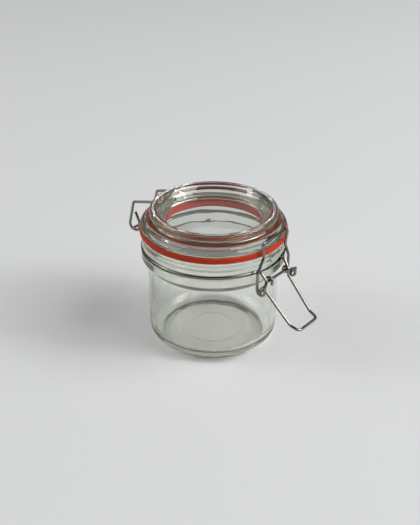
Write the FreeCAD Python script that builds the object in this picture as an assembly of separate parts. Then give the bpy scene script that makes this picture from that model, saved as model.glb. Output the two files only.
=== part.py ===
"""Clip-top preserving jar: glass jar and lid, rubber sealing ring and a four-piece steel wire closure.

Frame: millimetres, +Z up, origin on the jar's axis in the plane it stands on. The latch is at the front (-Y),
the hinge at the back (+Y), and the whole jar is mirror-symmetric about the YZ plane.
Each piece is written to parts/NODE.step: jar, lid, gasket, neck_wire, lid_wire, bail, lever.
"""

import FreeCAD, Part
import math
import os

Vec = FreeCAD.Vector

# ---------------------------------------------------------------- driving dimensions (mm)
# wire
WIRE_D = 1.5             # diameter of all the wire
WIRE_GAP = 0.1           # clearance of a wire lying in a glass groove
PIVOT_GAP = 0.1          # clearance of a wire hook round the wire it turns on

# glass jar
JAR_H = 65.6             # height of the flat sealing face
BODY_R = 36.6            # outside radius of the straight body
BODY_WALL = 3.2          # glass thickness of the body
FLOOR_Z = 3.4            # height of the inside floor at its rim
FLOOR_CROWN = 0.6        # how far the floor rises at the middle
FLOOR_FILLET = 7.0       # round between the floor and the inside wall
HEEL_R = 6.4             # round between the body and the foot
FOOT_W = 1.2             # width of the flat ring the jar stands on
PUSH_UP = 0.9            # depth of the dished hollow under the foot
PUSH_UP_SLOPE_W = 9.6    # width of the hollow's gentle slope
FINISH_PROUD = 3.4       # how far the finish, above the wire groove, stands out from the body
FINISH_W = 7.0           # width of the sealing face
FINISH_H = 7.65          # height of the finish
FINISH_ROUND = 0.9       # rounding of the sealing face's two edges
BEAD_PROUD = 0.4         # how far the bead below the groove stands out from the finish
BEAD_H = 4.6             # height of that bead
SHOULDER_H = 3.4         # height of the cove between the body and the bead

# rubber sealing ring
GASKET_T = 3.3           # thickness
GASKET_PROUD = 1.0       # how far it stands out from the finish
COLLAR_GAP = 0.8         # clearance of its inner collar in the mouth
COLLAR_W = 3.2           # width of the collar
COLLAR_H = 1.8           # how far the collar hangs into the mouth

# glass lid
LID_PROUD = 0.4          # how far the flange stands out from the finish
LID_EDGE_H = 1.9         # height of the flange's edge
LID_SHOULDER_RISE = 2.65 # rise of the rounded shoulder from the edge to the wire groove
LID_SHOULDER_FLAT = 3.1  # how far the shoulder's slope stays out from the flange's edge
LID_BAND_H = 3.85        # height of the raised ring above the wire groove
LID_RING_STEP = 4.9      # how far the raised ring stands in from the flange's edge
LID_RING_ROUND = 1.5     # rounding of the raised ring's outer edge
LID_RING_W = 2.5         # width of the ring's outer half, from its edge to its crest
LID_CREST_W = 1.5        # width of the crest
DISH_SLOPE_W = 3.0       # width of the dish's slope below the crest
DISH_STEP_W = 1.9        # width of the gentler slope at its foot
DISH_STEP_H = 2.4        # height of that gentler slope
LID_PANE_T = 2.2         # glass thickness of the flat middle
HOLLOW_H = 1.5           # height of the hollow under the middle
HOLLOW_SLOPE_W = 1.7     # width of the hollow's sloping edge
SEAT_INSIDE = 0.3        # how far the flange's seat reaches inside the sealing ring

# neck wire
BAR_OUT = 3.9            # distance of the front pivot bar from the bead
BAR_DROP = 4.5           # how far the bar lies below the wire groove
BAR_HALF = 9.8           # half the width of the bar, to its corners
BAR_LEG_SPREAD = 0.6     # how far the bar's legs spread towards the ring
PIN_OUT = 10.8           # distance of the rear hinge pins from the bead
PIN_DROP = 3.2           # how far the pins lie below the wire groove
PIN_INNER = 3.5          # how far the pins' legs stand inside the lid wire's arms
PIN_OUTER = 1.5          # how far the pins' ends stand outside the arms

# lid wire
ARM_HALF = 10.0          # half the distance between the hinge arms
ARM_END_OUT = 0.2        # how far the arms' corners lie behind the hinge pins
ARM_END_DROP = 4.3       # how far the arms' corners lie below the hoop
HOOK_LEAN = 4.4          # how far the hinge hook's leg leans away from the jar
HOOK_WIDTH = 8.4         # width of the hinge hook
HOOK_STUB_H = 6.2        # height of the straight part of the hook's inner side
HOOK_TIP_OUT = 2.8       # how far the hook's tip bends back towards its leg
HOOK_TIP_H = 5.6         # height of that bent tip

# lever
CRANK_IN = 0.7           # how far the bail's pivot lies inside the front bar
CRANK_DROP = 3.6         # how far the bail's pivot lies below the front bar
FOLD_GAP = 0.2           # gap between the two wires of a folded crank
CRANK_W = 4.9            # width of a crank, from the lever's leg to its fold
CURL_GAP = 0.3           # play of the curls round the front bar
CURL_SIDE = 2.2          # how far the curls stand inside the front bar's corners
CURL_LEAN = 2.4          # how far the wire leans out from a curl to its crank
CURL_TAIL = 2.0          # length of wire below the curls' middle on the outer side
LEG_SPREAD = 3.1         # how far the legs stand outside the curls
LEG_RUN = 16.4           # how far the legs run out from the crank
LEG_DROP = 17.2          # how far they run down
LEG_TAPER = 1.4          # how far they close in
TIP_RUN = 5.2            # how far the bent-out tip runs on from there
TIP_DROP = 1.8           # how far the tip runs down
TIP_TAPER = 0.8          # how far it closes in

# bail
EYE_GAP = 0.15           # play of the hooks round the folded cranks
EYE_DROP = 0.4           # how far the hooks' round centre lies below the bail's pivot
EYE_TIP_H = 3.2          # height of the hook's straight tip above that centre
EYE_SIDE = 1.5           # how far the hooks stand inside the cranks' folds
BAIL_FOOT_H = 8.9        # height of the straight feet above the bail's pivot
BAIL_OUT = 0.6           # distance of the bail's upper part from the sealing ring's edge
WAIST_RISE = 1.0         # height of the waist above the sealing face
WAIST_IN = 1.9           # how far the waist closes in from the top bar's corners
BAIL_TOP_RISE = 0.6      # height of the top bar above the hoop
BAIL_TOP_IN = 2.8        # how far the top bar's corners stand inside the feet

# ---------------------------------------------------------------- sizes and places that follow from them
WIRE_R = WIRE_D / 2
FINISH_R = BODY_R + FINISH_PROUD
MOUTH_R = FINISH_R - FINISH_W
BEAD_R = FINISH_R + BEAD_PROUD
NECK_GROOVE_H = WIRE_D + 4 * WIRE_GAP
NECK_WIRE_Z = JAR_H - FINISH_H - NECK_GROOVE_H / 2
NECK_RING_R = BEAD_R - WIRE_R                        # the neck wire lies flush with the bead

GASKET_R = FINISH_R + GASKET_PROUD
COLLAR_R = MOUTH_R - COLLAR_GAP
GASKET_BORE_R = COLLAR_R - COLLAR_W
SEAT_Z = JAR_H + GASKET_T                            # underside of the lid's flange

LID_R = FINISH_R + LID_PROUD
LID_RING_R = LID_R - LID_RING_STEP
LID_GROOVE_R = LID_RING_R - WIRE_D - WIRE_GAP
LID_GROOVE_Z = SEAT_Z + LID_EDGE_H + LID_SHOULDER_RISE
HOOP_Z = LID_GROOVE_Z + WIRE_GAP + WIRE_R
HOOP_R = LID_RING_R - WIRE_R                         # the hoop lies flush with the raised ring
LID_TOP = HOOP_Z + WIRE_R + WIRE_GAP + LID_BAND_H

BAR_REACH = BEAD_R + BAR_OUT                         # distance of the lever's pivot from the jar's axis
BAR_Z = NECK_WIRE_Z - BAR_DROP
PIN_REACH = BEAD_R + PIN_OUT                         # distance of the lid's hinge from the jar's axis
PIN_Z = NECK_WIRE_Z - PIN_DROP

FOLD_PITCH = WIRE_D + FOLD_GAP                       # distance between the two wires of a folded crank
CRANK_REACH = BAR_REACH - CRANK_IN
CRANK_Z = BAR_Z - CRANK_DROP
CURL_R = WIRE_D + CURL_GAP                           # radius of the curls, to the middle of the wire
CURL_HALF = BAR_HALF - CURL_SIDE
LEG_HALF = CURL_HALF + LEG_SPREAD
CRANK_TIP = LEG_HALF + CRANK_W

EYE_R = FOLD_PITCH / 2 + WIRE_D + EYE_GAP            # radius of the bail's hooks, to the middle of the wire
BAIL_FOOT_HALF = CRANK_TIP - EYE_SIDE
BAIL_TOP_HALF = BAIL_FOOT_HALF - BAIL_TOP_IN
BAIL_REACH = GASKET_R + BAIL_OUT


# ---------------------------------------------------------------- outlines and solids of revolution
def outline(points):
    """Closed outline in the XZ plane from (r, z) corners; a corner (r, z, f) is rounded with radius f."""
    edges = rounded_run([Vec(p[0], 0, p[1]) for p in points], [p[2] if len(p) > 2 else 0 for p in points], True)
    return Part.Face(Part.Wire(edges))


def revolved(points):
    """Solid of revolution about the jar's axis."""
    return outline(points).revolve(Vec(0, 0, 0), Vec(0, 0, 1), 360)


# ---------------------------------------------------------------- bent wire
def rounded_run(points, radii, closed=False):
    """Straight runs through the points, joined by tangent arcs of the given radii (0 leaves a sharp corner)."""
    count = len(points)
    starts, ends, arcs = {}, {}, {}
    for i, point in enumerate(points):
        inner = closed or 0 < i < count - 1
        radius = radii[i] if inner else 0
        starts[i] = ends[i] = point
        if not radius:
            continue
        back = (points[i - 1] - point).normalize()
        ahead = (points[(i + 1) % count] - point).normalize()
        half = math.acos(max(-1, min(1, back.dot(ahead)))) / 2
        if half > math.pi / 2 - 1e-6:
            continue
        bisector = (back + ahead).normalize()
        centre = point + bisector * (radius / math.sin(half))
        starts[i] = point + back * (radius / math.tan(half))
        ends[i] = point + ahead * (radius / math.tan(half))
        arcs[i] = Part.Arc(starts[i], centre - bisector * radius, ends[i]).toShape()
    edges = []
    for i in range(count):
        if i in arcs:
            edges.append(arcs[i])
        if i < count - 1 or closed:
            a, b = ends[i], starts[(i + 1) % count]
            if (b - a).Length > 1e-6:
                edges.append(Part.LineSegment(a, b).toShape())
    return edges


def wire_solid(edges):
    """Round wire of diameter WIRE_D along a tangent chain of edges."""
    path = Part.Wire(Part.__sortEdges__(edges))
    first = path.OrderedEdges[0]
    start = path.OrderedVertexes[0].Point
    at = first.FirstParameter if first.valueAt(first.FirstParameter).distanceToPoint(start) < 1e-6 \
        else first.LastParameter
    section = Part.Wire(Part.makeCircle(WIRE_R, start, first.tangentAt(at)))
    return path.makePipeShell([section], True, False)


def mirrored_pair(half):
    """A half that ends square on the YZ plane, joined to its mirror image."""
    other = half.mirror(Vec(0, 0, 0), Vec(1, 0, 0))
    return half.fuse(other).removeSplitter()


def ring_to_leg(ring_r, leg_x, bend_r, side):
    """Where a wire leaves a ring round the jar for a leg at x = leg_x that runs straight out.

    side is -1 at the front and +1 at the back. The bend is an arc of radius bend_r that touches the ring's
    circle from outside and the leg's line. Returns the ring's end, the arc's middle and the leg's start (x, y).
    """
    cx = leg_x + bend_r
    cy = side * math.sqrt((ring_r + bend_r) ** 2 - cx ** 2)
    scale = ring_r / (ring_r + bend_r)
    on_ring = (cx * scale, cy * scale)
    on_leg = (leg_x, cy)
    mx, my = (on_ring[0] + on_leg[0]) / 2 - cx, (on_ring[1] + on_leg[1]) / 2 - cy
    length = math.hypot(mx, my)
    middle = (cx + mx / length * bend_r, cy + my / length * bend_r)
    return on_ring, middle, on_leg


# ---------------------------------------------------------------- glass jar
def make_jar():
    """Straight-walled jar with a pushed-up base, a bead, a groove for the neck wire and a thick finish."""
    groove_r = NECK_RING_R - WIRE_R - WIRE_GAP
    groove_low = NECK_WIRE_Z - NECK_GROOVE_H / 2
    groove_high = NECK_WIRE_Z + NECK_GROOVE_H / 2
    bead_low = groove_low - BEAD_H
    body_high = bead_low - SHOULDER_H
    foot_r = BODY_R - HEEL_R
    inner_r = BODY_R - BODY_WALL
    profile = [
        (0, PUSH_UP), (foot_r - FOOT_W - PUSH_UP_SLOPE_W, PUSH_UP, 30.0), (foot_r - FOOT_W, 0, 0.8), (foot_r, 0),
        (BODY_R, 0, HEEL_R * 0.999), (BODY_R, body_high, 2.4), (BEAD_R - 0.9, bead_low, 0.9),
        (BEAD_R, bead_low + 0.9, 0.9), (BEAD_R, groove_low, 0.8), (groove_r, groove_low, 0.5),
        (groove_r, groove_high, 0.5), (FINISH_R, groove_high, 0.8), (FINISH_R, JAR_H, FINISH_ROUND),
        (MOUTH_R, JAR_H, FINISH_ROUND), (MOUTH_R, groove_low, 6.0), (inner_r, body_high, 6.0),
        (inner_r, FLOOR_Z, FLOOR_FILLET), (foot_r / 2, FLOOR_Z, 30.0), (0, FLOOR_Z + FLOOR_CROWN),
    ]
    return revolved(profile)


# ---------------------------------------------------------------- glass lid
def make_lid():
    """Pressed glass lid: flange, rounded shoulder, wire groove, raised ring and a thin, dished middle."""
    groove_high = HOOP_Z + WIRE_R + WIRE_GAP
    crest_r = LID_RING_R - LID_RING_W
    rim_r = crest_r - LID_CREST_W
    step_r = rim_r - DISH_SLOPE_W
    seat_r = GASKET_BORE_R - SEAT_INSIDE
    pane_low = SEAT_Z + HOLLOW_H
    dish_z = pane_low + LID_PANE_T
    profile = [
        (0, dish_z), (step_r - DISH_STEP_W, dish_z, 1.5), (step_r, dish_z + DISH_STEP_H, 1.5), (rim_r, LID_TOP, 2.4),
        (crest_r, LID_TOP), (LID_RING_R, LID_TOP, LID_RING_ROUND), (LID_RING_R, groove_high, 0.4),
        (LID_GROOVE_R, groove_high, 0.4), (LID_GROOVE_R, LID_GROOVE_Z, 0.4),
        (LID_R - LID_SHOULDER_FLAT, LID_GROOVE_Z, 3.0), (LID_R, SEAT_Z + LID_EDGE_H, 1.2), (LID_R, SEAT_Z, 0.5),
        (seat_r, SEAT_Z, 0.5), (seat_r - HOLLOW_SLOPE_W, pane_low, 1.0), (0, pane_low),
    ]
    return revolved(profile)


# ---------------------------------------------------------------- rubber sealing ring
def make_gasket():
    """Rubber ring between the finish and the lid's flange, with a collar that hangs into the mouth."""
    collar_low = JAR_H - COLLAR_H
    profile = [
        (GASKET_BORE_R, collar_low, 0.6), (COLLAR_R, collar_low, 0.6), (COLLAR_R, JAR_H, 0.2),
        (GASKET_R, JAR_H, 0.6), (GASKET_R, SEAT_Z, 0.6), (GASKET_BORE_R, SEAT_Z, 0.4),
    ]
    return revolved(profile)


# ---------------------------------------------------------------- neck wire
def make_neck_wire():
    """Wire in the jar's groove, with a bar across the front for the lever and two hinge pins at the back."""
    z = NECK_WIRE_Z
    front_leg_x = BAR_HALF + BAR_LEG_SPREAD
    root_x = ARM_HALF - PIN_INNER
    front = ring_to_leg(NECK_RING_R, front_leg_x, 2.0, -1)
    rear = ring_to_leg(NECK_RING_R, root_x, 2.0, 1)
    drop_y = BEAD_R + 0.3
    front_run = rounded_run(
        [Vec(0, -BAR_REACH, BAR_Z), Vec(BAR_HALF, -BAR_REACH, BAR_Z), Vec(front_leg_x, -drop_y, z),
         Vec(front[2][0], front[2][1], z)],
        [0, 1.3, 1.6, 0])
    front_bend = Part.Arc(*(Vec(p[0], p[1], z) for p in (front[2], front[1], front[0]))).toShape()
    ring = Part.Arc(
        Vec(front[0][0], front[0][1], z), Vec(NECK_RING_R, 0, z), Vec(rear[0][0], rear[0][1], z)).toShape()
    rear_bend = Part.Arc(*(Vec(p[0], p[1], z) for p in rear)).toShape()
    rear_run = rounded_run(
        [Vec(rear[2][0], rear[2][1], z), Vec(root_x, BEAD_R + 2.0, z), Vec(root_x, PIN_REACH, PIN_Z),
         Vec(ARM_HALF + PIN_OUTER, PIN_REACH, PIN_Z)],
        [0, 4.0, 1.6, 0])
    half = wire_solid(front_run + [front_bend, ring, rear_bend] + rear_run)
    return mirrored_pair(half)


# ---------------------------------------------------------------- lid wire
def make_lid_wire():
    """Hoop in the lid's groove whose two ends run back as hinge arms and hook round the hinge pins."""
    z = HOOP_Z
    leave = ring_to_leg(HOOP_R, ARM_HALF, 2.5, 1)
    hook_low = PIN_Z - WIRE_D - PIVOT_GAP
    corner_y = PIN_REACH + ARM_END_OUT
    hook_out = corner_y + HOOK_LEAN
    hook_in = hook_out - HOOK_WIDTH
    ring = Part.Arc(Vec(0, -HOOP_R, z), Vec(HOOP_R, 0, z), Vec(leave[0][0], leave[0][1], z)).toShape()
    bend = Part.Arc(*(Vec(p[0], p[1], z) for p in leave)).toShape()
    arm = rounded_run(
        [Vec(leave[2][0], leave[2][1], z), Vec(ARM_HALF, leave[2][1] + 1.5, z),
         Vec(ARM_HALF, corner_y, z - ARM_END_DROP), Vec(ARM_HALF, hook_out, hook_low),
         Vec(ARM_HALF, hook_in, hook_low), Vec(ARM_HALF, hook_in, hook_low + HOOK_STUB_H),
         Vec(ARM_HALF, hook_in + HOOK_TIP_OUT, hook_low + HOOK_STUB_H + HOOK_TIP_H)],
        [0, 4.0, 1.8, 3.2, 3.2, 2.5, 0])
    return mirrored_pair(wire_solid([ring, bend] + arm))


# ---------------------------------------------------------------- bail
def make_bail():
    """Waisted stirrup whose bar clamps the lid and whose hooked feet ride on the lever's cranks."""
    foot_y = -(CRANK_REACH - EYE_R)
    tip_y = -(CRANK_REACH + EYE_R)
    eye_z = CRANK_Z - EYE_DROP
    low = eye_z - EYE_R
    top = HOOP_Z + BAIL_TOP_RISE
    path = rounded_run(
        [Vec(0, -BAIL_REACH, top), Vec(BAIL_TOP_HALF, -BAIL_REACH, top),
         Vec(BAIL_TOP_HALF - WAIST_IN, -BAIL_REACH, JAR_H + WAIST_RISE),
         Vec(BAIL_FOOT_HALF, foot_y, CRANK_Z + BAIL_FOOT_H), Vec(BAIL_FOOT_HALF, foot_y, low),
         Vec(BAIL_FOOT_HALF, tip_y, low), Vec(BAIL_FOOT_HALF, tip_y, eye_z + EYE_TIP_H)],
        [0, 1.5, 2.2, 2.5, EYE_R, EYE_R, 0])
    return mirrored_pair(wire_solid(path))


# ---------------------------------------------------------------- lever
def make_lever():
    """U-shaped handle with a bent-out tip, folded cranks for the bail and curls round the neck wire's bar."""
    fold_r = FOLD_PITCH / 2 * 0.999
    curl_r = CURL_R * 0.999
    near_z = CRANK_Z + FOLD_PITCH / 2
    far_z = CRANK_Z - FOLD_PITCH / 2
    end_x, end_y, end_z = LEG_HALF - LEG_TAPER, -(CRANK_REACH + LEG_RUN), CRANK_Z - LEG_DROP
    tip_y, tip_z = end_y - TIP_RUN, end_z - TIP_DROP
    inner_y = -(BAR_REACH - CURL_R)
    outer_y = -(BAR_REACH + CURL_R)
    path = rounded_run(
        [Vec(0, tip_y, tip_z), Vec(end_x - TIP_TAPER, tip_y, tip_z), Vec(end_x, end_y, end_z),
         Vec(LEG_HALF, -CRANK_REACH, far_z), Vec(CRANK_TIP, -CRANK_REACH, far_z),
         Vec(CRANK_TIP, -CRANK_REACH, near_z), Vec(CURL_HALF + CURL_LEAN, -CRANK_REACH, near_z),
         Vec(CURL_HALF, inner_y, near_z + 1.0), Vec(CURL_HALF, inner_y, BAR_Z + CURL_R),
         Vec(CURL_HALF, outer_y, BAR_Z + CURL_R), Vec(CURL_HALF, outer_y, BAR_Z - CURL_TAIL)],
        [0, 2.4, 3.0, 1.2, fold_r, fold_r, 0.9, 0.9, curl_r, curl_r, 0])
    return mirrored_pair(wire_solid(path))


# ---------------------------------------------------------------- write the parts
MAKERS = {
    "jar": make_jar,
    "lid": make_lid,
    "gasket": make_gasket,
    "neck_wire": make_neck_wire,
    "lid_wire": make_lid_wire,
    "bail": make_bail,
    "lever": make_lever,
}

os.makedirs("parts", exist_ok=True)
for node, maker in MAKERS.items():
    solid = maker()
    solid = solid.Solids[0] if len(solid.Solids) == 1 else solid
    print(f"{node}: {len(solid.Solids)} solid, valid {solid.isValid()}, volume {solid.Volume:.1f} mm3")
    solid.exportStep(f"parts/{node}.step")
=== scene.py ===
"""Clip-top preserving jar: clear glass jar and lid, rubber sealing ring and steel wire closure.

Laid out as a Blender add-on and run as a script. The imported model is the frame: every piece stands where it
says. The scene is in metres with +Z up. The jar's axis is on Z, the latch at the front (-Y) and the hinge at
the back (+Y).
"""

import math

import bpy
import numpy as np
from mathutils import Matrix, Vector


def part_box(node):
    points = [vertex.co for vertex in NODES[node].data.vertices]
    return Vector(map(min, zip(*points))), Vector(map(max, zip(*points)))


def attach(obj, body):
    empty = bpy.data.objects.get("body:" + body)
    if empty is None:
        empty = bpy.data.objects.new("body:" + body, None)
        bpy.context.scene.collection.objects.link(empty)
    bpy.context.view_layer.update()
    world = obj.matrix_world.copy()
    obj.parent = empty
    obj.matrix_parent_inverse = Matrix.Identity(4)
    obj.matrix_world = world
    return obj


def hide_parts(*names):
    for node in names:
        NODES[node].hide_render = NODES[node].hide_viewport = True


bl_info = {
    "name": "Clip-Top Jar",
    "version": (1, 0, 0),
    "blender": (4, 5, 0),
    "location": "View3D > Sidebar > Jar",
    "description": "Builds the glass, the rubber ring and the steel wire of a clip-top preserving jar",
    "category": "Add Mesh",
}

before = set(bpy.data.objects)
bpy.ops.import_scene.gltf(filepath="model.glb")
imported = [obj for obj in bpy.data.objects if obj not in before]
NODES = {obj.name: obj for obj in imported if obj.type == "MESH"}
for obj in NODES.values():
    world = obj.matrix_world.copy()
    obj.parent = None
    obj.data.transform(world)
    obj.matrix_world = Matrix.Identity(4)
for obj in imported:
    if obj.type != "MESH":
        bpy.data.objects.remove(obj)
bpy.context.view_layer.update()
MM = 0.001

# ----------------------------------------------------------------------------------- sizes, in millimetres
GASKET_LOW, GASKET_HIGH = (corner.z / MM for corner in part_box("gasket"))
RUBBER_LIFT = 0.03  # air film between the rubber and each glass face
LIP_R, LIP_FLANK_R, BAND_R = 29.0, 32.2, 41.0  # bore of the rubber, outside of its lip, outside of its band

FOOT_DOME = 0.9  # height of the hollow under the foot
BODY_R, BODY_TOP = 36.6, 46.6  # outside and top of the body's straight wall
BEAD_R = 40.4  # widest part of the neck, under the wire's groove
GROOVE_R, GROOVE_LOW, GROOVE_HIGH = 38.8, 56.05, 57.95  # groove that holds the neck wire
FINISH_R, JAR_TOP = 40.0, 65.6  # outside and top of the neck
MOUTH_R, MOUTH_LOW = 33.0, 56.05  # straight wall of the mouth and its lower end
INSIDE_R, INSIDE_FLOOR = 33.4, 3.4  # hollow of the body

LID_R, LID_FACE = 40.4, 68.9  # the flange and its flat underside
LID_HOLLOW = 70.4  # ceiling of the hollow under the lid
LID_GROOVE_R, LID_GROOVE_LOW, LID_GROOVE_HIGH = 33.9, 73.45, 75.15  # groove that holds the lid wire
LID_RING_R, LID_TOP = 35.5, 79.0  # the raised ring
DISH_FLOOR = 72.6

ARC_STEP = math.radians(7)  # largest turn between two points of a rounded corner
LONGEST_STEP = 2.5 * MM  # largest distance between two points of a glass profile

# patterns, in cells per millimetre
BLOOM = 0.42  # patches of bloom on the rubber, about 2.4 mm across
MOULD_GRAIN = 2.6  # the mould's grain is finer; it is drawn 0.4 mm wide so that it shows
POLISH = 0.26  # patches of uneven polish on the wire, about 4 mm long
DIE_MARKS = 1.5  # the die's marks are finer; they are drawn 0.7 mm wide so that they show

# ---------------------------------------------------------------------------------------- stage, in metres
FLOOR_HALF = 3.0  # half the side of the square floor
LAMP_TARGET = (0, 0, 0.04)  # middle of the jar
# each lamp: name, place, side of the square, the setting that gives its power, and its share of that power.
# A small bright window near each big softbox gives the glass and the wire their sharp highlights.
LAMPS = (
    ("key_softbox", (1.05, -2.1, 2.2), 2.6, "key_power", 1.0),
    ("fill_softbox", (-1.4, 1.6, 1.6), 2.2, "fill_power", 1.0),
    ("key_window", (0.8, -1.6, 1.2), 0.45, "key_power", 0.11),
    ("fill_window", (-1.3, 1.5, 1.5), 0.45, "fill_power", 0.25),
)

ROOM_FACING = (-0.779, -0.627, 0)  # level direction from the jar towards the dark side of the room
ROOM_TURN = (-0.2, 0.5)  # cosines of the angle from that direction between which the room dims
ROOM_BACK = 0.6  # share of the room light on the backdrop's side
ROOM_FRONT = 0.02  # share on the dark side
ROOM_TOP = 0.35  # share overhead
ROOM_TOP_RISE = (0.45, 0.9)  # sines of the elevations where that share starts and is full
ROOM_SKIRT = 0.4  # what is left of each share at the horizon
ROOM_SKIRT_RISE = (0.05, 0.4)  # sines of the elevations where it starts to grow and is whole

CAMERA_AIM = (0, 0, 0.045)  # point on the jar's axis
CAMERA_DISTANCE = 0.48135  # from that point
CAMERA_AZIMUTH = -51.17  # degrees round from the front, negative towards -X
CAMERA_ELEVATION = 29.2  # degrees above the horizon
CAMERA_YAW, CAMERA_PITCH, CAMERA_ROLL = 0.216, -0.101, 0.63  # degrees, small turns from there
LENS, SENSOR = 58.3, 36.0  # millimetres
CLIP_START, CLIP_END = 0.01, 20  # range that the camera sees


# ------------------------------------------------------------------------------------ colours and settings
def linear(hex_colour):
    """Linear RGBA from an sRGB hex colour.

    Each channel c becomes c / 12.92 up to 0.04045 and ((c + 0.055) / 1.055) ^ 2.4 above it.
    """
    channels = [int(hex_colour[i:i + 2], 16) / 255 for i in (0, 2, 4)]
    return [c / 12.92 if c <= 0.04045 else ((c + 0.055) / 1.055) ** 2.4 for c in channels] + [1.0]


def colour_property(name, description, hex_colour):
    """Colour setting whose default is an sRGB hex colour."""
    return bpy.props.FloatVectorProperty(
        name=name, description=description, subtype="COLOR", size=4, min=0, max=1, default=linear(hex_colour))


def length_property(name, description, millimetres):
    """Length setting whose default is given in millimetres."""
    return bpy.props.FloatProperty(
        name=name, description=description, unit="LENGTH", precision=5, default=millimetres * MM)


def roughness_property(description, default):
    """Roughness setting, from 0 for a mirror to 1 for chalk."""
    return bpy.props.FloatProperty(
        name="Roughness", description=description, subtype="FACTOR", min=0, max=1, default=default)


def power_property(name, description, watts):
    """Lamp power setting in watts."""
    return bpy.props.FloatProperty(name=name, description=description, unit="POWER", min=0, default=watts)


class JarGlassSettings(bpy.types.PropertyGroup):
    """Colour and unevenness of the pressed soda-lime glass."""
    tint: colour_property("Glass tint", "What is left of white light after the tint depth", "CFD8C4")
    tint_depth: length_property("Tint depth", "Length of glass that gives the tint", 25.0)
    surface: colour_property("Surface colour", "Colour that each surface lets through", "FFFFFF")
    ior: bpy.props.FloatProperty(name="IOR", description="Refractive index of soda-lime glass", default=1.52)
    ripple: length_property("Ripple", "Height of the uneven inside wall", 0.035)
    ripple_length: length_property("Ripple length", "Distance between waves of the inside wall", 13.0)
    segments: bpy.props.IntProperty(name="Segments", description="Faces round the jar", default=288, min=24)


class JarRubberSettings(bpy.types.PropertyGroup):
    """Finish of the moulded rubber sealing ring."""
    colour: colour_property("Rubber colour", "Moulded natural rubber with orange pigment", "BE3002")
    roughness: roughness_property("Middle roughness of the rubber", 0.55)
    segments: bpy.props.IntProperty(name="Segments", description="Faces round the ring", default=288, min=24)


class JarWireSettings(bpy.types.PropertyGroup):
    """Finish of the drawn steel wire."""
    colour: colour_property("Wire colour", "Drawn stainless steel seen straight on", "8E8C83")
    # painted shade: this colour darkens the steel at grazing angles, so the wire's edges look dark in place
    # of the dark room reflected there
    edge: colour_property("Painted edge shade", "Painted shade that darkens the steel at grazing angles", "595957")
    roughness: roughness_property("Middle roughness of the drawn wire", 0.1)


class JarStageSettings(bpy.types.PropertyGroup):
    """Floor colour and strength of the light."""
    floor_colour: colour_property("Floor colour", "Seamless white paper", "DADBDC")
    key_power: power_property("Key light", "Power of the key softbox", 90.0)
    fill_power: power_property("Fill light", "Power of the fill softbox", 20.0)
    sky_strength: bpy.props.FloatProperty(
        name="Room light", description="Strength of the room's own light", min=0, default=0.5)


# ----------------------------------------------------------------------------------------------- materials
def add_node(tree, kind, settings=None, **inputs):
    """Adds a node to tree. settings are its attributes; each input is a value, or an output socket to link.

    An underscore in an input's name stands for a space, and i0, i1 and so on are inputs by number.
    """
    node = tree.nodes.new(kind)
    for name, value in (settings or {}).items():
        setattr(node, name, value)
    for name, value in inputs.items():
        by_number = name[0] == "i" and name[1:].isdigit()
        socket = node.inputs[int(name[1:]) if by_number else name.replace("_", " ")]
        if isinstance(value, bpy.types.NodeSocket):
            tree.links.new(value, socket)
        else:
            socket.default_value = value
    return node


def new_material(name):
    """Empty node material and its node tree."""
    material = bpy.data.materials.new(name)
    material.use_nodes = True
    material.node_tree.nodes.clear()
    return material, material.node_tree


def pressed_glass_material(settings):
    """Pressed soda-lime glass, fire-polished: clear and sharp, faintly green-grey where it is thick.

    The jar and the lid share one material. Its colour follows Beer's law: after the tint depth, white light
    has the tint's colour, and the channel that loses most sets the density.
    """
    name = "pressed_soda_lime_glass"
    if name in bpy.data.materials:
        return bpy.data.materials[name]
    material, tree = new_material(name)
    glass = add_node(tree, "ShaderNodeBsdfPrincipled", Base_Color=settings.surface, Roughness=0.0,
                     IOR=settings.ior, Transmission_Weight=1.0)
    # a channel at 0 would absorb without end
    tint = [max(c, 1e-4) for c in settings.tint[:3]]
    absorbed = [-math.log(c) / settings.tint_depth for c in tint]
    density = max(absorbed)
    volume = add_node(tree, "ShaderNodeVolumeAbsorption", Density=density,
                      Color=[1 - a / density for a in absorbed] + [1.0])
    add_node(tree, "ShaderNodeOutputMaterial", Surface=glass.outputs[0], Volume=volume.outputs[0])
    return material


def moulded_rubber_material(settings):
    """Moulded natural rubber: satin orange, slightly translucent, its gloss uneven under a faint bloom."""
    material, tree = new_material("moulded_natural_rubber")
    place = add_node(tree, "ShaderNodeTexCoord").outputs["Object"]
    bloom = add_node(tree, "ShaderNodeTexNoise", Vector=place, Scale=BLOOM / MM, Detail=4.0, Roughness=0.6)
    rough = add_node(tree, "ShaderNodeMapRange", Value=bloom.outputs[0],
                     To_Min=settings.roughness - 0.07, To_Max=settings.roughness + 0.1)
    grain = add_node(tree, "ShaderNodeTexNoise", Vector=place, Scale=MOULD_GRAIN / MM, Detail=2.0)
    bump = add_node(tree, "ShaderNodeBump", Strength=0.25, Distance=0.04 * MM, Height=grain.outputs[0])
    rubber = add_node(tree, "ShaderNodeBsdfPrincipled", Base_Color=settings.colour, IOR=1.52,
                      Roughness=rough.outputs[0], Normal=bump.outputs[0], Specular_IOR_Level=0.25,
                      Subsurface_Weight=0.25, Subsurface_Scale=1.0,
                      Subsurface_Radius=(1.2 * MM, 0.4 * MM, 0.1 * MM))
    add_node(tree, "ShaderNodeOutputMaterial", Surface=rubber.outputs[0])
    return material


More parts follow.
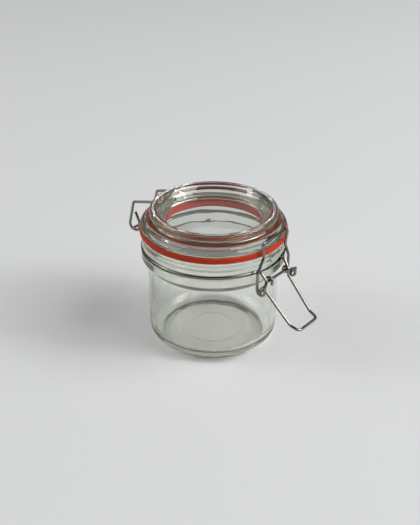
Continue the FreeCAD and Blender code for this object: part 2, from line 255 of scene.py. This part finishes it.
def drawn_wire_material(settings):
    """Drawn stainless-steel wire: mirror-like, unevenly polished, with faint die marks, and painted shade
    that darkens its edges at grazing angles.
    """
    material, tree = new_material("drawn_stainless_wire")
    place = add_node(tree, "ShaderNodeTexCoord").outputs["Object"]
    patches = add_node(tree, "ShaderNodeTexNoise", Vector=place, Scale=POLISH / MM, Detail=5.0,
                       Roughness=0.65)
    rough = add_node(tree, "ShaderNodeMapRange", Value=patches.outputs[0],
                     To_Min=settings.roughness - 0.05, To_Max=settings.roughness + 0.08)
    marks = add_node(tree, "ShaderNodeTexNoise", Vector=place, Scale=DIE_MARKS / MM, Detail=3.0)
    bump = add_node(tree, "ShaderNodeBump", Strength=0.3, Distance=0.03 * MM, Height=marks.outputs[0])
    # the specular tint carries the painted edge shade, which darkens the steel at grazing angles
    steel = add_node(tree, "ShaderNodeBsdfPrincipled", Base_Color=settings.colour, Metallic=1.0,
                     Roughness=rough.outputs[0], Normal=bump.outputs[0], Specular_Tint=settings.edge)
    add_node(tree, "ShaderNodeOutputMaterial", Surface=steel.outputs[0])
    return material


def seamless_paper_material(settings):
    """Uncoated white paper: matt, with hardly a sheen."""
    material, tree = new_material("seamless_paper")
    paper = add_node(tree, "ShaderNodeBsdfPrincipled", Base_Color=settings.floor_colour, Roughness=0.9,
                     Specular_IOR_Level=0.1)
    add_node(tree, "ShaderNodeOutputMaterial", Surface=paper.outputs[0])
    return material


# ------------------------------------------------------------------------------------------------ surfaces
def rounded_profile(corners):
    """Points and outward normals of a profile in (r, z), walked with the material on the left.

    Each corner is (r, z, f): straight runs between corners, joined by arcs of radius f that touch both runs.
    The arc's centre lies on the corner's bisector at f / sin(half angle); its points are a rotating radius.
    The outward normal is the travel direction turned a quarter turn clockwise.
    """
    corners = np.array(corners, float)
    points, normals = [corners[0, :2]], [np.array([0.0, -1.0])]
    for i in range(1, len(corners) - 1):
        before, here, after = corners[i - 1, :2], corners[i, :2], corners[i + 1, :2]
        back = (before - here) / np.linalg.norm(before - here)
        ahead = (after - here) / np.linalg.norm(after - here)
        half = math.acos(np.clip(back @ ahead, -1, 1)) / 2
        radius = corners[i, 2]
        middle = (back + ahead) / np.linalg.norm(back + ahead)
        centre = here + middle * radius / math.sin(half)
        start = here + back * radius / math.tan(half)
        sense = math.copysign(1.0, -back[0] * ahead[1] + back[1] * ahead[0])
        sweep = math.pi - 2 * half
        count = max(2, int(math.ceil(sweep / ARC_STEP)) + 1)
        angles = np.linspace(0, sweep, count) * sense
        spoke = start - centre
        turned = np.stack([spoke[0] * np.cos(angles) - spoke[1] * np.sin(angles),
                           spoke[0] * np.sin(angles) + spoke[1] * np.cos(angles)], 1)
        points += list(centre + turned)
        normals += list(turned / radius * sense)
    points.append(corners[-1, :2])
    normals.append(np.array([0.0, 1.0]))
    return np.array(points), np.array(normals)


def densified(points, normals):
    """The profile with its long runs divided evenly, and the normals turned evenly along each run."""
    steps = np.linalg.norm(np.diff(points, axis=0), axis=1)
    parts = np.maximum(1, np.ceil(steps / LONGEST_STEP).astype(int))
    at = np.concatenate([i + np.arange(n) / n for i, n in enumerate(parts)] + [[len(points) - 1.0]])
    index = np.arange(len(points))
    point = np.stack([np.interp(at, index, points[:, k]) for k in (0, 1)], 1)
    normal = np.stack([np.interp(at, index, normals[:, k]) for k in (0, 1)], 1)
    return point, normal / np.linalg.norm(normal, axis=1, keepdims=True)


def turned_grid(points, normals, segments):
    """Angle, radius, height and the normal's two parts for a profile turned about Z, with a row per point."""
    angle = np.arange(segments) * 2 * math.pi / segments
    a, r = np.meshgrid(angle, points[:, 0])
    z, out_r, out_z = (np.broadcast_to(column[:, None], a.shape)
                       for column in (points[:, 1], normals[:, 0], normals[:, 1]))
    return a, r, z, out_r, out_z


def band_faces(rows, segments, closed=False):
    """Quads between neighbouring rows of a turned grid; a closed one joins its last row to its first."""
    i = np.arange(segments)
    j = (i + 1) % segments
    row = np.arange(rows if closed else rows - 1)[:, None]
    here, after = row * segments, (row + 1) % rows * segments
    return np.stack([here + i, here + j, after + j, after + i], -1).reshape(-1, 4)


def solid_of_revolution(name, corners, segments, ripple):
    """Closed surface of revolution about Z from a rounded profile that starts and ends on the axis.

    A point is (r cos a, r sin a, z) moved along its normal by ripple(a, r, z); the normal is tilted back by
    the ripple's slope along the profile and round the axis.
    """
    profile, profile_out = densified(*rounded_profile(corners))
    ring = profile[1:-1]
    a, r, z, out_r, out_z = turned_grid(ring, profile_out[1:-1], segments)
    along = np.concatenate([[0], np.cumsum(np.linalg.norm(np.diff(ring, axis=0), axis=1))])
    lift = ripple(a, r, z)
    slope_along = np.gradient(lift, along, axis=0)
    slope_round = (np.roll(lift, -1, 1) - np.roll(lift, 1, 1)) / (2 * a[0, 1]) / r
    # the travel direction in (r, z) is the outward normal turned a quarter turn back, (-out_z, out_r)
    radial, up = r + lift * out_r, z + lift * out_z
    normal_r, normal_z = out_r + slope_along * out_z, out_z - slope_along * out_r
    cos, sin = np.cos(a), np.sin(a)
    points = np.stack([radial * cos, radial * sin, up], -1).reshape(-1, 3)
    normals = np.stack([normal_r * cos + slope_round * sin, normal_r * sin - slope_round * cos, normal_z], -1)
    points = np.vstack([points, [0, 0, profile[0, 1]], [0, 0, profile[-1, 1]]])
    normals = np.vstack([normals.reshape(-1, 3), [0, 0, -1], [0, 0, 1]])
    normals /= np.linalg.norm(normals, axis=1, keepdims=True)
    low_pole, high_pole = len(points) - 2, len(points) - 1
    i = np.arange(segments)
    j = (i + 1) % segments
    top = (len(ring) - 1) * segments
    floor_fan = np.stack([np.full(segments, low_pole), j, i], -1)
    crown_fan = np.stack([top + i, top + j, np.full(segments, high_pole)], -1)
    return mesh_object(name, points, [band_faces(len(ring), segments), floor_fan, crown_fan], normals)


def ring_of_revolution(name, corners, segments):
    """Closed ring about Z from a closed rounded profile: a point is (r cos a, r sin a, z)."""
    points, out = rounded_profile([corners[-1], *corners, corners[0]])
    points, out = points[1:-1], out[1:-1]
    a, r, z, out_r, out_z = turned_grid(points, out, segments)
    cos, sin = np.cos(a), np.sin(a)
    places = np.stack([r * cos, r * sin, z], -1).reshape(-1, 3)
    normals = np.stack([out_r * cos, out_r * sin, out_z], -1).reshape(-1, 3)
    return mesh_object(name, places, [band_faces(len(points), segments, closed=True)], normals)


def mesh_object(name, points, face_arrays, normals):
    """Mesh object at the origin from vertex, face and vertex-normal arrays."""
    mesh = bpy.data.meshes.new(name)
    mesh.from_pydata(points, [], [face for faces in face_arrays for face in faces.tolist()])
    mesh.shade_smooth()
    mesh.normals_split_custom_set_from_vertices(normals)
    mesh.update()
    piece = bpy.data.objects.new(name, mesh)
    bpy.context.scene.collection.objects.link(piece)
    return piece


def in_metres(corners):
    """Profile corners given in millimetres, in metres."""
    return [tuple(value * MM for value in corner) for corner in corners]


def fades_out(value, end, width):
    """1 up to a width before the end, falling evenly to 0 at the end; both are in millimetres."""
    return np.clip((end * MM - value) / (width * MM), 0, 1)


def fades_in(value, start, width):
    """0 up to the start, rising evenly to 1 a width past it; both are in millimetres."""
    return np.clip((value - start * MM) / (width * MM), 0, 1)


# ------------------------------------------------------------------------------------------- the glass jar
def jar_profile():
    """The jar's profile from the middle of the foot, up the outside, over the mouth and down the inside."""
    return in_metres([
        # hollow under the foot with a low ring in it, then the narrow rim that the jar stands on
        (0, FOOT_DOME, 0), (12.6, FOOT_DOME, 4.0), (14.9, 0.65, 4.0), (17.2, FOOT_DOME, 4.0),
        (24.0, FOOT_DOME, 8.0), (29.0, 0, 0.8), (30.2, 0, 0.2),
        # heel and straight wall
        (33.0, 1.6, 5.0), (BODY_R, 5.6, 5.0), (BODY_R, BODY_TOP, 1.4),
        # underside of the bead, the bead and the wire's groove
        (39.5, 50.35, 0.9), (BEAD_R, 51.25, 0.9), (BEAD_R, GROOVE_LOW, 0.8), (GROOVE_R, GROOVE_LOW, 0.5),
        (GROOVE_R, GROOVE_HIGH, 0.5), (FINISH_R, GROOVE_HIGH, 0.8),
        # neck with its two faint grooves
        (FINISH_R, 60.4, 1.0), (39.6, 61.0, 0.5), (FINISH_R, 61.6, 0.5),
        (FINISH_R, 63.0, 0.5), (39.7, 63.5, 0.5), (FINISH_R, 64.0, 0.5),
        # mouth
        (FINISH_R, JAR_TOP, 0.9), (MOUTH_R, JAR_TOP, 0.9), (MOUTH_R, MOUTH_LOW, 6.0),
        # inside wall and the slightly domed floor
        (INSIDE_R, 46.95, 6.0), (INSIDE_R, INSIDE_FLOOR, 7.0), (15.1, INSIDE_FLOOR, 30.0), (0, 4.0, 0),
    ])


class OBJECT_OT_jar_glass(bpy.types.Operator):
    """Builds the glass jar with its rippled inside wall"""
    bl_idname = "object.jar_glass"
    bl_label = "Glass jar"

    def execute(self, context):
        settings = context.scene.jar_glass

        def ripple(a, r, z):
            # slow waves on the inside wall, fading out at the floor, at the mouth and outside; each has its
            # share of the height, a whole number of waves round the jar and its waves per ripple length
            inside = fades_out(r, 34.6, 1.0) * fades_in(z, 5.2, 3) * fades_out(z, 60, 6)
            wave = z / settings.ripple_length * 2 * math.pi
            return settings.ripple * inside * (
                0.5 * np.sin(7 * a + 0.6 * wave) + 0.35 * np.sin(11 * a - 0.9 * wave + 1.3)
                + 0.3 * np.sin(1.1 * wave + 2 * np.sin(3 * a)) + 0.2 * np.sin(17 * a + 0.4 * wave + 0.7))

        piece = solid_of_revolution("jar_glass", jar_profile(), settings.segments, ripple)
        piece.data.materials.append(pressed_glass_material(settings))
        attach(piece, "jar")
        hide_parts("jar")
        return {"FINISHED"}


# ------------------------------------------------------------------------------------------- the glass lid
def lid_profile():
    """The lid's profile from the hollow in its underside, round the edge and up to the dish on top."""
    return in_metres([
        # hollow and flat underside
        (0, LID_HOLLOW, 0), (27.0, LID_HOLLOW, 1.0), (28.7, LID_FACE, 0.5), (LID_R, LID_FACE, 0.5),
        # edge, sloping shoulder and the wire's groove
        (LID_R, 70.8, 1.2), (38.9, 72.05, 0.4), (38.3, 72.15, 0.4), (37.0, LID_GROOVE_LOW, 1.5),
        (LID_GROOVE_R, LID_GROOVE_LOW, 0.4), (LID_GROOVE_R, LID_GROOVE_HIGH, 0.4),
        # raised ring
        (LID_RING_R, LID_GROOVE_HIGH, 0.4), (LID_RING_R, LID_TOP, 1.5), (33.0, LID_TOP, 2.4),
        # dish, down a step to its flat floor
        (31.5, LID_TOP, 2.4), (28.9, 75.6, 3.0), (27.6, 73.2, 2.0), (26.0, DISH_FLOOR, 2.0),
        (0, DISH_FLOOR, 0),
    ])


class OBJECT_OT_jar_lid(bpy.types.Operator):
    """Builds the pressed glass lid"""
    bl_idname = "object.jar_lid"
    bl_label = "Glass lid"

    def execute(self, context):
        settings = context.scene.jar_glass

        def ripple(a, r, z):
            # faint plunger marks on the flat middle; the height shifts the waves above from those below
            middle = fades_out(r, 24, 6)
            wave = r / settings.ripple_length * 2 * math.pi
            shift = 0.9 * z / MM
            return 0.25 * settings.ripple * middle * (
                np.sin(2 * a + wave) + 0.6 * np.sin(3 * a - 1.4 * wave + shift))

        piece = solid_of_revolution("lid_glass", lid_profile(), settings.segments, ripple)
        piece.data.materials.append(pressed_glass_material(settings))
        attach(piece, "lid")
        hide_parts("lid")
        return {"FINISHED"}


# ----------------------------------------------------------------------------------------- the rubber ring
def rubber_profile():
    """The ring's closed profile: a flat band between the glass faces and a lip that hangs in the mouth."""
    face, high = JAR_TOP + RUBBER_LIFT, GASKET_HIGH - RUBBER_LIFT
    return in_metres([
        (LIP_R, GASKET_LOW, 0.6), (LIP_FLANK_R, GASKET_LOW, 0.6), (LIP_FLANK_R, face, 0.2),
        (BAND_R, face, 0.6), (BAND_R, high, 0.6), (LIP_R, high, 0.4),
    ])


class OBJECT_OT_jar_rubber_ring(bpy.types.Operator):
    """Builds the rubber sealing ring"""
    bl_idname = "object.jar_rubber_ring"
    bl_label = "Rubber ring"

    def execute(self, context):
        settings = context.scene.jar_rubber
        piece = ring_of_revolution("rubber_ring", rubber_profile(), settings.segments)
        piece.data.materials.append(moulded_rubber_material(settings))
        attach(piece, "lid")
        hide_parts("gasket")
        return {"FINISHED"}


# ---------------------------------------------------------------------------------------- the wire closure
class OBJECT_OT_jar_wires(bpy.types.Operator):
    """Finishes the four pieces of steel wire"""
    bl_idname = "object.jar_wires"
    bl_label = "Wire closure"

    def execute(self, context):
        steel = drawn_wire_material(context.scene.jar_wire)
        for name in ("neck_wire", "lid_wire", "bail", "lever"):
            for material_slot in NODES[name].material_slots:
                material_slot.material = steel
        return {"FINISHED"}


# ------------------------------------------------------------------------------------ floor, lamps, camera
def paper_floor(settings):
    """Square sheet of paper that the jar stands on, on the plane z = 0."""
    mesh = bpy.data.meshes.new("floor")
    corners = [(x * FLOOR_HALF, y * FLOOR_HALF, 0) for x, y in ((-1, -1), (1, -1), (1, 1), (-1, 1))]
    mesh.from_pydata(corners, [], [(0, 1, 2, 3)])
    mesh.materials.append(seamless_paper_material(settings))
    floor = bpy.data.objects.new("floor", mesh)
    bpy.context.scene.collection.objects.link(floor)


def square_lamp(name, place, size, power):
    """Square area lamp that faces the jar."""
    lamp = bpy.data.lights.new(name, "AREA")
    lamp.shape, lamp.size, lamp.energy = "SQUARE", size, power
    box = bpy.data.objects.new(name, lamp)
    box.location = place
    box.rotation_euler = (Vector(LAMP_TARGET) - Vector(place)).to_track_quat("-Z", "Y").to_euler()
    bpy.context.scene.collection.objects.link(box)


def room_world(strength):
    """Studio room as light from each direction: pale backdrop, dark side, grey ceiling, dim horizon."""
    world = bpy.data.worlds.new("studio_room")
    world.use_nodes = True
    tree = world.node_tree
    tree.nodes.clear()
    smooth = {"interpolation_type": "SMOOTHSTEP"}
    place = add_node(tree, "ShaderNodeTexCoord").outputs["Generated"]
    height = add_node(tree, "ShaderNodeSeparateXYZ", Vector=place).outputs["Z"]
    # 1 straight towards the dark side of the room, -1 towards the backdrop
    facing = add_node(tree, "ShaderNodeVectorMath", {"operation": "DOT_PRODUCT"}, i0=place, i1=ROOM_FACING)
    side = add_node(tree, "ShaderNodeMapRange", smooth, Value=facing.outputs["Value"],
                    From_Min=ROOM_TURN[0], From_Max=ROOM_TURN[1], To_Min=ROOM_BACK, To_Max=ROOM_FRONT)
    overhead = add_node(tree, "ShaderNodeMapRange", smooth, Value=height,
                        From_Min=ROOM_TOP_RISE[0], From_Max=ROOM_TOP_RISE[1], To_Min=0.0, To_Max=1.0)
    shade = add_node(tree, "ShaderNodeMix", {"data_type": "FLOAT"}, i0=overhead.outputs[0],
                     i2=side.outputs[0], i3=ROOM_TOP)
    # the room is dim near the horizon, beyond the pale floor
    skirt = add_node(tree, "ShaderNodeMapRange", smooth, Value=height,
                     From_Min=ROOM_SKIRT_RISE[0], From_Max=ROOM_SKIRT_RISE[1], To_Min=ROOM_SKIRT, To_Max=1.0)
    shade = add_node(tree, "ShaderNodeMath", {"operation": "MULTIPLY"}, i0=shade.outputs[0],
                     i1=skirt.outputs[0])
    light = add_node(tree, "ShaderNodeBackground", Color=shade.outputs[0], Strength=strength)
    add_node(tree, "ShaderNodeOutputWorld", Surface=light.outputs[0])
    bpy.context.scene.world = world


def turned_pair(first, second, degrees):
    """Two square axes turned in their own plane, the first towards the second."""
    cos, sin = math.cos(math.radians(degrees)), math.sin(math.radians(degrees))
    return first * cos + second * sin, second * cos - first * sin


def aimed_camera():
    """Camera that looks down at the jar from between the latch and the -X side, at the place given above."""
    azimuth, elevation = math.radians(CAMERA_AZIMUTH), math.radians(CAMERA_ELEVATION)
    right = Vector((math.cos(azimuth), math.sin(azimuth), 0))
    back = Vector((math.sin(azimuth) * math.cos(elevation), -math.cos(azimuth) * math.cos(elevation),
                   math.sin(elevation)))
    up = back.cross(right)
    ahead, right = turned_pair(-back, right, -CAMERA_YAW)
    ahead, up = turned_pair(ahead, up, CAMERA_PITCH)
    right, up = turned_pair(right, up, CAMERA_ROLL)
    data = bpy.data.cameras.new("camera")
    data.sensor_fit, data.sensor_width, data.lens = "AUTO", SENSOR, LENS
    data.clip_start, data.clip_end = CLIP_START, CLIP_END
    camera = bpy.data.objects.new("camera", data)
    turn = Matrix((right, up, -ahead)).transposed().to_4x4()
    camera.matrix_world = Matrix.Translation(Vector(CAMERA_AIM) + back * CAMERA_DISTANCE) @ turn
    bpy.context.scene.collection.objects.link(camera)
    bpy.context.scene.camera = camera


class OBJECT_OT_jar_stage(bpy.types.Operator):
    """Builds the floor, the lamps, the room and the camera"""
    bl_idname = "object.jar_stage"
    bl_label = "Stage"

    def execute(self, context):
        settings = context.scene.jar_stage
        context.scene.view_settings.view_transform = "Standard"
        # light turns back many times inside the thick foot, which goes black when the bounces run out
        cycles = context.scene.cycles
        cycles.max_bounces = 32
        cycles.transmission_bounces = 32
        cycles.glossy_bounces = 24
        cycles.transparent_max_bounces = 16
        cycles.blur_glossy = 0.0
        paper_floor(settings)
        for name, place, size, power_setting, share in LAMPS:
            square_lamp(name, place, size, share * getattr(settings, power_setting))
        room_world(settings.sky_strength)
        aimed_camera()
        return {"FINISHED"}


# ---------------------------------------------------------------------------------- panel and registration
class VIEW3D_PT_jar(bpy.types.Panel):
    """Lists the jar's pieces and their settings"""
    bl_label = "Clip-Top Jar"
    bl_idname = "VIEW3D_PT_jar"
    bl_space_type = "VIEW_3D"
    bl_region_type = "UI"
    bl_category = "Jar"

    def draw(self, context):
        for group, (_, operators) in PARTS.items():
            column = self.layout.column()
            settings = getattr(context.scene, group)
            for name in settings.bl_rna.properties.keys():
                if name not in ("rna_type", "name"):
                    column.prop(settings, name)
            for operator in operators:
                column.operator(operator.bl_idname)


# each group of settings, by its name on the scene, with the operators that read it
PARTS = {
    "jar_glass": (JarGlassSettings, (OBJECT_OT_jar_glass, OBJECT_OT_jar_lid)),
    "jar_rubber": (JarRubberSettings, (OBJECT_OT_jar_rubber_ring,)),
    "jar_wire": (JarWireSettings, (OBJECT_OT_jar_wires,)),
    "jar_stage": (JarStageSettings, (OBJECT_OT_jar_stage,)),
}
CLASSES = (*(group for group, _ in PARTS.values()),
           *(operator for _, operators in PARTS.values() for operator in operators), VIEW3D_PT_jar)


def register():
    """Registers the classes and hangs the settings on the scene."""
    for cls in CLASSES:
        bpy.utils.register_class(cls)
    for name, (group, _) in PARTS.items():
        setattr(bpy.types.Scene, name, bpy.props.PointerProperty(type=group))


def unregister():
    """Takes the settings and the classes away again."""
    for name in PARTS:
        delattr(bpy.types.Scene, name)
    for cls in reversed(CLASSES):
        bpy.utils.unregister_class(cls)


def main():
    """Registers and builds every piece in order."""
    register()
    bpy.ops.object.jar_glass()
    bpy.ops.object.jar_lid()
    bpy.ops.object.jar_rubber_ring()
    bpy.ops.object.jar_wires()
    bpy.ops.object.jar_stage()


if __name__ == "__main__":
    main()
